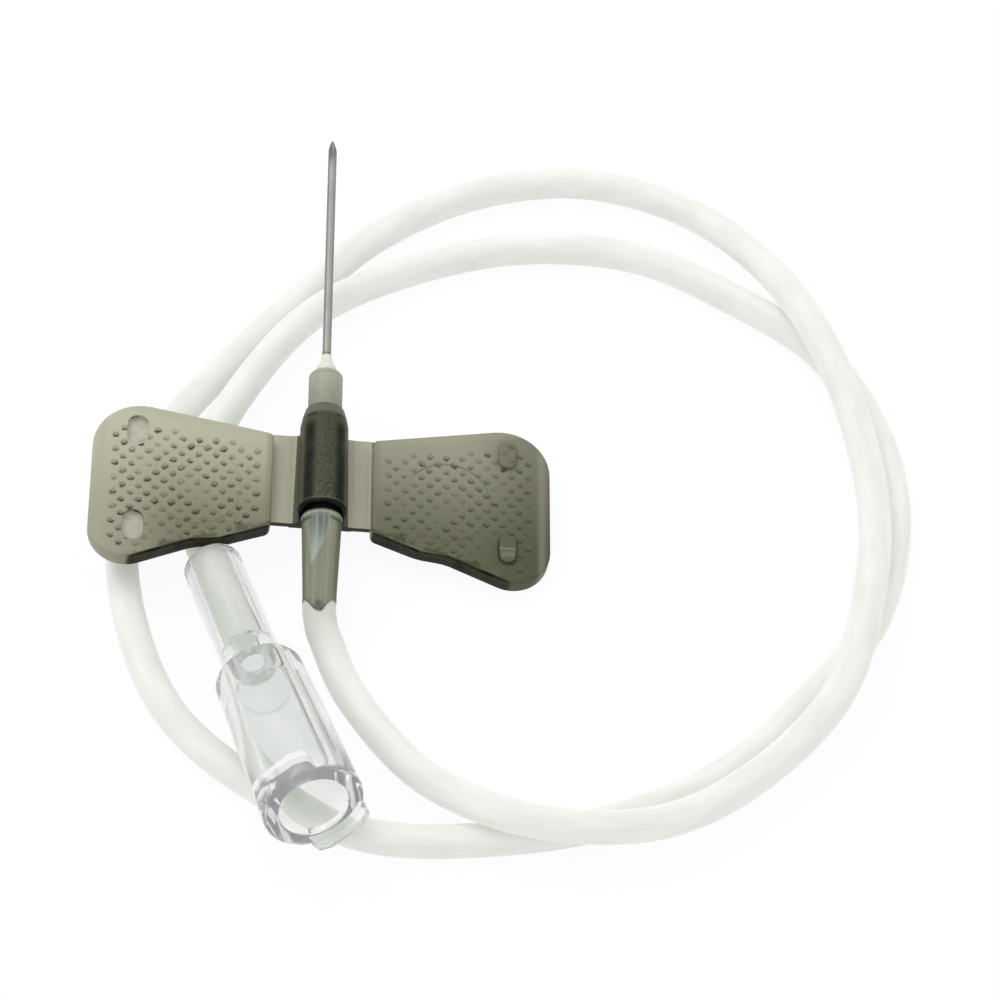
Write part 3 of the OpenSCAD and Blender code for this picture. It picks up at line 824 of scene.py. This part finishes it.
last = len(stations) - 1
for k in range(TUBE_SIDES):
    around = (k / TUBE_SIDES, (k + 1) / TUBE_SIDES)
    for i in range(last):
        for wall in (0, 1):
            corners = [(i, k), (i, k + 1), (i + 1, k + 1), (i + 1, k)]
            faces.append(tuple(ring_point(s, wall, c) for s, c in corners))
            uvs.append([(around[c - k], travelled[s] / 0.01) for s, c in corners])
    for end in (0, last):
        faces.append((ring_point(end, 0, k), ring_point(end, 0, k + 1), ring_point(end, 1, k + 1), ring_point(end, 1, k)))
        uvs.append([(around[0], travelled[end] / 0.01)] * 4)

tube_mesh = bpy.data.meshes.new("Tube")
tube_mesh.from_pydata(vertices, [], faces)
tube_uvs = tube_mesh.uv_layers.new(name="along")
for polygon, corners in zip(tube_mesh.polygons, uvs):
    for loop, corner in zip(polygon.loop_indices, corners):
        tube_uvs.data[loop].uv = corner
work = bmesh.new()
work.from_mesh(tube_mesh)
bmesh.ops.recalc_face_normals(work, faces=work.faces)
work.to_mesh(tube_mesh)
work.free()
tube = bpy.data.objects.new("Tube", tube_mesh)
bpy.context.scene.collection.objects.link(tube)
laid(tube, Matrix.Identity(4), tube_finish, "tube_plastic", "tube")
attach(tube, "needle_set")
print("tube length in mm:", round(travelled[-1] / MM, 1))

# %% [markdown]
# The hub is one turned profile: a bore for the needle, a tapered spigot for the tube, a barrel in
# the sleeve and a collar with a rounded shoulder and a glue well. Profile points are given as
# (along the needle, radius, corner radius).


# %% Hub, glue and needle
def profile_of(corners, steps=5):
    return [(p.x, p.y) for p in rounded(corners, steps)]


HUB_PROFILE = profile_of([
    (-10.4, 0.31, 0), (-10.4, 0.6, 0.12), (-3.8, 0.9, 0), (3.83, 0.9, 0), (3.83, 1.1, 0.06),
    (6.7, 1.1, 0.38), (6.7, 0.65, 0.03), (6.2, 0.65, 0), (6.2, 0.31, 0),
])
hub = turned_piece("Hub", HUB_PROFILE, 72)
laid(hub, ALONG_NEEDLE, hub_finish, "hub_plastic", "hub")
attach(hub, "needle_set")

GLUE_PROFILE = profile_of([
    (6.23, 0.31, 0), (6.23, 0.62, 0), (6.71, 0.62, 0), (6.71, 0.7, 0), (7.1, 0.66, 0.3),
    (7.45, 0.5, 0.4), (7.75, 0.38, 0.5), (8.1, 0.32, 0), (8.1, 0.305, 0),
])
glue = turned_piece("Glue_cone", GLUE_PROFILE, 48)
laid(glue, ALONG_NEEDLE, glue_finish, "adhesive", "cannula_adhesive")
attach(glue, "needle_set")

# %% [markdown]
# The point has three flat grinds: a long main bevel and two shorter side ones turned about the
# needle, which leave the two cutting edges of a lancet point. Each grind is a big block that is
# cut away, as the grinding wheel does.

# %% Lancet point
POINT = 25.9
NEEDLE_R = 0.28
cannula = turned_piece(
    "Cannula",
    profile_of([(-10.7, 0.16, 0.02), (-10.7, NEEDLE_R, 0.03), (POINT, NEEDLE_R, 0), (POINT, 0.16, 0)]),
    64,
)
cannula.data.transform(Matrix.Rotation(-math.pi / 2, 4, "X"))
for slope, turned_by in ((13, 0), (18, 35), (18, -35)):
    block = new_piece(
        "Grind",
        [(x, y, z) for x in (-1, 1) for y in (-10, 2) for z in (0, 2)],
        [(0, 1, 3, 2), (4, 6, 7, 5), (0, 4, 5, 1), (2, 3, 7, 6), (0, 2, 6, 4), (1, 5, 7, 3)],
    )
    block.data.transform(
        Matrix.Rotation(math.radians(turned_by), 4, "Y")
        @ Matrix.Translation((0, POINT, -NEEDLE_R))
        @ Matrix.Rotation(math.radians(-slope), 4, "X")
    )
    combine(cannula, block, "DIFFERENCE")
laid(cannula, NEEDLE_LAID, steel_finish, "steel", "cannula", crease=25)
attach(cannula, "needle_set")

# %% [markdown]
# The sleeve slides over the hub's barrel. Its front end narrows to a thin lip, and its underside
# carries the stubs of the two thin webs, blended in with a fillet.

# %% Sleeve
WEB_BOTTOM = -1.55
WEB_TOP = -1.1
WING_TOP = -0.25
WEB_SEAM = 2.0
sleeve = turned_piece(
    "Sleeve",
    profile_of([
        (-3.8, 1.3, 0.04), (-3.8, 1.55, 0.12), (2.5, 1.55, 0.8), (3.2, 1.42, 0.35), (3.8, 1.25, 0.12),
        (3.8, 0.93, 0.05), (-3.3, 0.93, 0.03), (-3.3, 1.3, 0.03),
    ]),
    96,
)
sleeve.data.transform(Matrix.Rotation(-math.pi / 2, 4, "X"))
FILLET = 0.4
fillet_centre = Vector((1.82, WEB_TOP + FILLET))
half_web = [Vector((WEB_SEAM, WEB_BOTTOM + 0.004)), Vector((WEB_SEAM, WEB_TOP))]
for k in range(9):
    angle = math.radians(270 - (270 - 159) * k / 8)
    half_web.append(fillet_centre + FILLET * Vector((math.cos(angle), math.sin(angle))))
half_web.append(Vector((1.2, -0.46)))
outline = half_web + [Vector((0, -1.2))] + [Vector((-p.x, p.y)) for p in reversed(half_web)]
stub_vertices = [(p.x, v, p.y) for v in (-4.1, 2.5) for p in outline]
count = len(outline)
stub_faces = [(i, (i + 1) % count, count + (i + 1) % count, count + i) for i in range(count)]
stub_faces += [tuple(range(count)), tuple(range(count, 2 * count))]
combine(sleeve, new_piece("Stubs", stub_vertices, stub_faces), "UNION")
laid(sleeve, NEEDLE_LAID, sleeve_finish, "sleeve_plastic", "wing_sleeve")
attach(sleeve, "needle_set")

# %% [markdown]
# About 120 grip pips cover the underside of each wing in a diamond lattice inside a smooth border.
# They repeat, so Geometry Nodes place them: a square grid turned by 45 degrees, kept only where a
# ray straight down meets the bordered outline, with one small rounded diamond on each point.


# %% Grip pips in Geometry Nodes
def pip_tree():
    tree = bpy.data.node_groups.new("Grip_pips", "GeometryNodeTree")
    face = tree.interface
    face.new_socket("Field", in_out="INPUT", socket_type="NodeSocketGeometry")
    for name, value in (("Spacing", 0.7495), ("Half diagonal", 0.27), ("Height", 0.12)):
        face.new_socket(name, in_out="INPUT", socket_type="NodeSocketFloat").default_value = value
    face.new_socket("Finish", in_out="INPUT", socket_type="NodeSocketMaterial")
    face.new_socket("Pips", in_out="OUTPUT", socket_type="NodeSocketGeometry")
    given = tree.nodes.new("NodeGroupInput")
    result = tree.nodes.new("NodeGroupOutput")

    def add(kind, settings=None, sockets=None):
        made = tree.nodes.new(kind)
        for name, value in (settings or {}).items():
            setattr(made, name, value)
        for key, value in (sockets or {}).items():
            if isinstance(value, bpy.types.NodeSocket):
                tree.links.new(value, made.inputs[key])
            else:
                made.inputs[key].default_value = value
        return made

    # the lattice: 45 by 45 points, turned by 45 degrees, with one on the origin
    lattice_count = 45
    span = add("ShaderNodeMath", {"operation": "MULTIPLY"}, {0: given.outputs["Spacing"], 1: lattice_count - 1.0})
    grid = add(
        "GeometryNodeMeshGrid",
        None,
        {"Size X": span.outputs[0], "Size Y": span.outputs[0], "Vertices X": lattice_count, "Vertices Y": lattice_count},
    )
    turned_grid = add(
        "GeometryNodeTransform",
        None,
        {"Geometry": grid.outputs["Mesh"], "Rotation": (0, 0, math.radians(45)), "Translation": (0, 0, WEB_BOTTOM)},
    )
    ray = add(
        "GeometryNodeRaycast",
        None,
        {"Target Geometry": given.outputs["Field"], "Ray Direction": (0, 0, -1), "Ray Length": 5.0},
    )
    missed = add("FunctionNodeBooleanMath", {"operation": "NOT"}, {0: ray.outputs["Is Hit"]})
    kept = add(
        "GeometryNodeDeleteGeometry",
        {"domain": "POINT"},
        {"Geometry": turned_grid.outputs[0], "Selection": missed.outputs[0]},
    )
    # one pip: a small sphere squeezed into a rounded diamond
    ball = add("GeometryNodeMeshUVSphere", None, {"Segments": 12, "Rings": 6, "Radius": 1.0})
    position = add("GeometryNodeInputPosition")
    parts = add("ShaderNodeSeparateXYZ", None, {0: position.outputs[0]})
    wide = add("ShaderNodeMath", {"operation": "ABSOLUTE"}, {0: parts.outputs["X"]})
    deep = add("ShaderNodeMath", {"operation": "ABSOLUTE"}, {0: parts.outputs["Y"]})
    both = add("ShaderNodeMath", {"operation": "ADD"}, {0: wide.outputs[0], 1: deep.outputs[0]})
    squared = add("ShaderNodeMath", {"operation": "POWER"}, {0: both.outputs[0], 1: 1.6})
    pinch = add("ShaderNodeMath", {"operation": "MULTIPLY_ADD"}, {0: squared.outputs[0], 1: -0.22, 2: 1.22})
    squeeze = add(
        "ShaderNodeCombineXYZ", None, {0: pinch.outputs[0], 1: pinch.outputs[0], 2: 1.0}
    )
    diamond_place = add(
        "ShaderNodeVectorMath", {"operation": "MULTIPLY"}, {0: position.outputs[0], 1: squeeze.outputs[0]}
    )
    diamond = add(
        "GeometryNodeSetPosition", None, {"Geometry": ball.outputs["Mesh"], "Position": diamond_place.outputs[0]}
    )
    size = add(
        "ShaderNodeCombineXYZ",
        None,
        {0: given.outputs["Half diagonal"], 1: given.outputs["Half diagonal"], 2: given.outputs["Height"]},
    )
    pips = add(
        "GeometryNodeInstanceOnPoints",
        None,
        {"Points": kept.outputs[0], "Instance": diamond.outputs[0], "Scale": size.outputs[0]},
    )
    real = add("GeometryNodeRealizeInstances", None, {"Geometry": pips.outputs[0]})
    finished = add(
        "GeometryNodeSetMaterial", None, {"Geometry": real.outputs[0], "Material": given.outputs["Finish"]}
    )
    tree.links.new(finished.outputs[0], result.inputs[0])
    return tree


grip_pips = pip_tree()
print("pip tree has", len(grip_pips.nodes), "nodes")

# %% [markdown]
# Each wing is one skin: the plate with its rounded edges, the thin web up to the sleeve, the grip
# pips, and on top either two pegs or two recesses and the faint ring that the moulding pin left.
# Booleans join them, because a clear-ish plastic would show every buried surface.

# %% Wing parts
WING_CORNERS = [
    (3.2, -4.8, 0.5), (6.2, -5.9, 5), (8.0, -6.12, 4), (14.7, -8.9, 2.4), (14.7, 4.05, 3.1), (3.2, 2.1, 0.4),
]
PIP_BORDER = 0.9
wing_outline = rounded(WING_CORNERS, 12)


def spaced(outline, step):
    points = []
    for i, here in enumerate(outline):
        gap = outline[(i + 1) % len(outline)] - here
        parts = max(1, round(gap.length / step))
        points += [here + gap * k / parts for k in range(parts)]
    return points


def pips_on(name, finish):
    border = inset(spaced(wing_outline, 0.8), PIP_BORDER)
    field = new_piece(name, [(p.x, p.y, WEB_BOTTOM - 1) for p in border], [tuple(range(len(border)))])
    modifier = field.modifiers.new("Grip_pips", "NODES")
    modifier.node_group = grip_pips
    for item in grip_pips.interface.items_tree:
        if item.name == "Finish":
            modifier[item.identifier] = finish
    return settled(field)


def web_slab():
    inner, outer, steps = WEB_SEAM + 0.006, 3.32, 16
    profile = rounded([
        (-4.1, WEB_BOTTOM + 0.004, 0.1), (2.5, WEB_BOTTOM + 0.004, 0.1), (2.5, WEB_TOP, 0.08), (-4.1, WEB_TOP, 0.08),
    ], 3)
    slab_vertices = []
    for k in range(steps + 1):
        u = inner + (outer - inner) * k / steps
        slab_vertices += [(u, p.x, p.y) for p in profile]
    around = len(profile)
    slab_faces = [
        (k * around + i, k * around + (i + 1) % around, (k + 1) * around + (i + 1) % around, (k + 1) * around + i)
        for k in range(steps)
        for i in range(around)
    ]
    slab_faces += [tuple(range(around)), tuple(range(steps * around, (steps + 1) * around))]
    return new_piece("Web", slab_vertices, slab_faces)


def oblong(middle, width, length):
    half, straight = width / 2, length / 2
    x, y = middle
    return rounded([
        (x - half, y - straight, half * 0.98), (x + half, y - straight, half * 0.98),
        (x + half, y + straight, half * 0.98), (x - half, y + straight, half * 0.98),
    ], 8)


def wing_body(name, finish):
    wing = plate(name, spaced(wing_outline, 0.8), WEB_BOTTOM, WING_TOP, 0.18)
    combine(wing, web_slab(), "UNION")
    combine(wing, pips_on(name + "_pips", finish), "UNION")
    ring = turned_piece(
        "Ring",
        profile_of([
            (-0.02, WITNESS_RADIUS - 0.06, 0), (-0.02, WITNESS_RADIUS + 0.06, 0),
            (0.3, WITNESS_RADIUS + 0.09, 0), (0.3, WITNESS_RADIUS - 0.09, 0),
        ]),
        72,
    )
    ring.data.transform(Matrix.Translation((WITNESS.x, WITNESS.y, WING_TOP)))
    return combine(wing, ring, "DIFFERENCE")


print("wing outline has", len(wing_outline), "points")

# %% Right wing with its pegs
right_wing = wing_body("Right_wing", right_wing_finish)
for end in (-1, 1):
    peg = plate(
        "Peg", oblong((PEG_REACH, end * PEG_SPACING / 2 - PEG_REAR), 1.15, 2.0), WING_TOP - 0.1, WING_TOP + 0.3, 0.12
    )
    combine(right_wing, peg, "UNION")
laid(right_wing, NEEDLE_LAID, right_wing_finish, "wing_plastic", "right_wing")
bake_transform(right_wing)

# %% Left wing with its recesses
left_wing = wing_body("Left_wing", left_wing_finish)
for end in (-1, 1):
    recess = plate(
        "Recess", oblong((PEG_REACH, end * PEG_SPACING / 2 - PEG_REAR), 1.35, 2.2), WING_TOP - 0.4, WING_TOP + 0.6, 0.12
    )
    combine(left_wing, recess, "DIFFERENCE")
laid(left_wing, NEEDLE_LAID @ Matrix.Scale(-1, 4, (1, 0, 0)), left_wing_finish, "wing_plastic", "left_wing")
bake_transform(left_wing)

# %% [markdown]
# The connector is one clear moulding. Its profile has the narrow socket that holds the tube, a
# shoulder, a flow passage, a chamber and the 6% luer taper. A fine ridge down each side is the
# parting line of the mould, and two lugs at the mouth take the thread of a lock ring.

# %% Luer connector
LUER_SIDES = 120
LUER_PROFILE = profile_of([
    (0, 1.08, 0.08), (0, 1.9, 0.45), (10.3, 1.9, 0.25), (11.1, 2.8, 0.35), (22.2, 3.125, 0), (22.8, 3.125, 0.28),
    (22.8, 2.15, 0.12), (12.6, 1.844, 0.1), (12.6, 1.6, 0.05), (10.2, 1.6, 0.15), (10.2, 0.7, 0.08),
    (8.23, 0.7, 0.05), (8.23, 1.08, 0.05),
])


def parting_ridge(along, radius, angle):
    outside = radius > 1.7 and not (10.1 < along < 12.7 and radius < 1.95) and (along < 12 or radius > 2.5)
    off = min(abs((angle - SEAM_TURN + math.pi / 2) % math.pi - math.pi / 2), 1.0)
    return 0.035 if outside and off < math.radians(1.4) and 0.3 < along < 22.4 else 0


luer = turned_piece("Luer_connector", LUER_PROFILE, LUER_SIDES, parting_ridge)
for side in (0, math.pi):
    lug_outline = rounded([
        (2.3, -1.95, 0.25), (3.35, -1.95, 0.3), (3.8, -1.2, 0.5), (3.8, 1.2, 0.5), (3.35, 1.95, 0.3),
        (2.3, 1.95, 0.25),
    ], 4)
    lug = plate("Lug", lug_outline, 21.7, 22.75, 0.12)
    lug.data.transform(Matrix.Rotation(LUG_TURN + side, 4, "Z"))
    combine(luer, lug, "UNION")
laid(luer, LUER_LAID, clear_finish, "clear_plastic", "luer_connector")
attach(luer, "needle_set")

# %% [markdown]
# The photograph shows all of the tube, from the hub to the connector, so its mesh is its whole length.

print("declared", tube.name)

# %% [markdown]
# The photograph has a pure white ground with hardly a shadow. The floor keeps a soft shadow, and
# what the camera, a reflection or a clear part sees of it is lifted towards white. The world is
# an even white dome, a little darker low down, so that the edges of clear parts draw grey lines.

# %% Floor
floor_mesh = bpy.data.meshes.new("Floor")
floor_mesh.from_pydata([(-3, -3, 0), (3, -3, 0), (3, 3, 0), (-3, 3, 0)], [], [(0, 1, 2, 3)])
floor = bpy.data.objects.new("Floor", floor_mesh)
floor.location.z = -0.00002
bpy.context.scene.collection.objects.link(floor)
floor_finish = bpy.data.materials.new("White_table")
floor_finish.use_nodes = True
tree = floor_finish.node_tree
tree.nodes.clear()
output = tree.nodes.new("ShaderNodeOutputMaterial")
path = tree.nodes.new("ShaderNodeLightPath")
seen = Field(path.outputs["Is Camera Ray"]) + Field(path.outputs["Is Glossy Ray"]) + Field(path.outputs["Is Transmission Ray"])
paper = seen.node("ShaderNodeBsdfDiffuse", None, {"Color": (0.92, 0.92, 0.92, 1)})
glow = seen.node("ShaderNodeEmission", None, {"Color": (1, 1, 1, 1), "Strength": 1.0})
mixed = seen.node("ShaderNodeMixShader", None, {0: seen.clamped(0, 1, 0, 0.93), 1: paper, 2: glow})
tree.links.new(mixed.socket, output.inputs["Surface"])
floor_mesh.materials.append(floor_finish)
print("floor ready")

# %% World and lamp
world = bpy.data.worlds.new("Studio")
bpy.context.scene.world = world
world.use_nodes = True
tree = world.node_tree
tree.nodes.clear()
output = tree.nodes.new("ShaderNodeOutputWorld")
coordinates = tree.nodes.new("ShaderNodeTexCoord")
direction = Field(coordinates.outputs["Generated"])
height = direction.node("ShaderNodeSeparateXYZ", None, {0: direction}, "Z")
dome = height.clamped(0.05, 0.55).tinted((0.8, 0.8, 0.8), (0.92, 0.92, 0.92))
background = dome.node("ShaderNodeBackground", None, {"Color": dome, "Strength": 1.0})
tree.links.new(background.socket, output.inputs["Surface"])

lamp_data = bpy.data.lights.new("Softbox", "AREA")
lamp_data.shape = "RECTANGLE"
lamp_data.size = 0.25
lamp_data.size_y = 0.35
lamp_data.energy = 0.7
lamp = bpy.data.objects.new("Softbox", lamp_data)
bpy.context.scene.collection.objects.link(lamp)
lamp.location = (-0.12, 0.12, 0.42)
lamp.rotation_euler = (Vector(lamp.location) - VIEW_TARGET).to_track_quat("Z", "Y").to_euler()
print("lamp at", tuple(lamp.location))
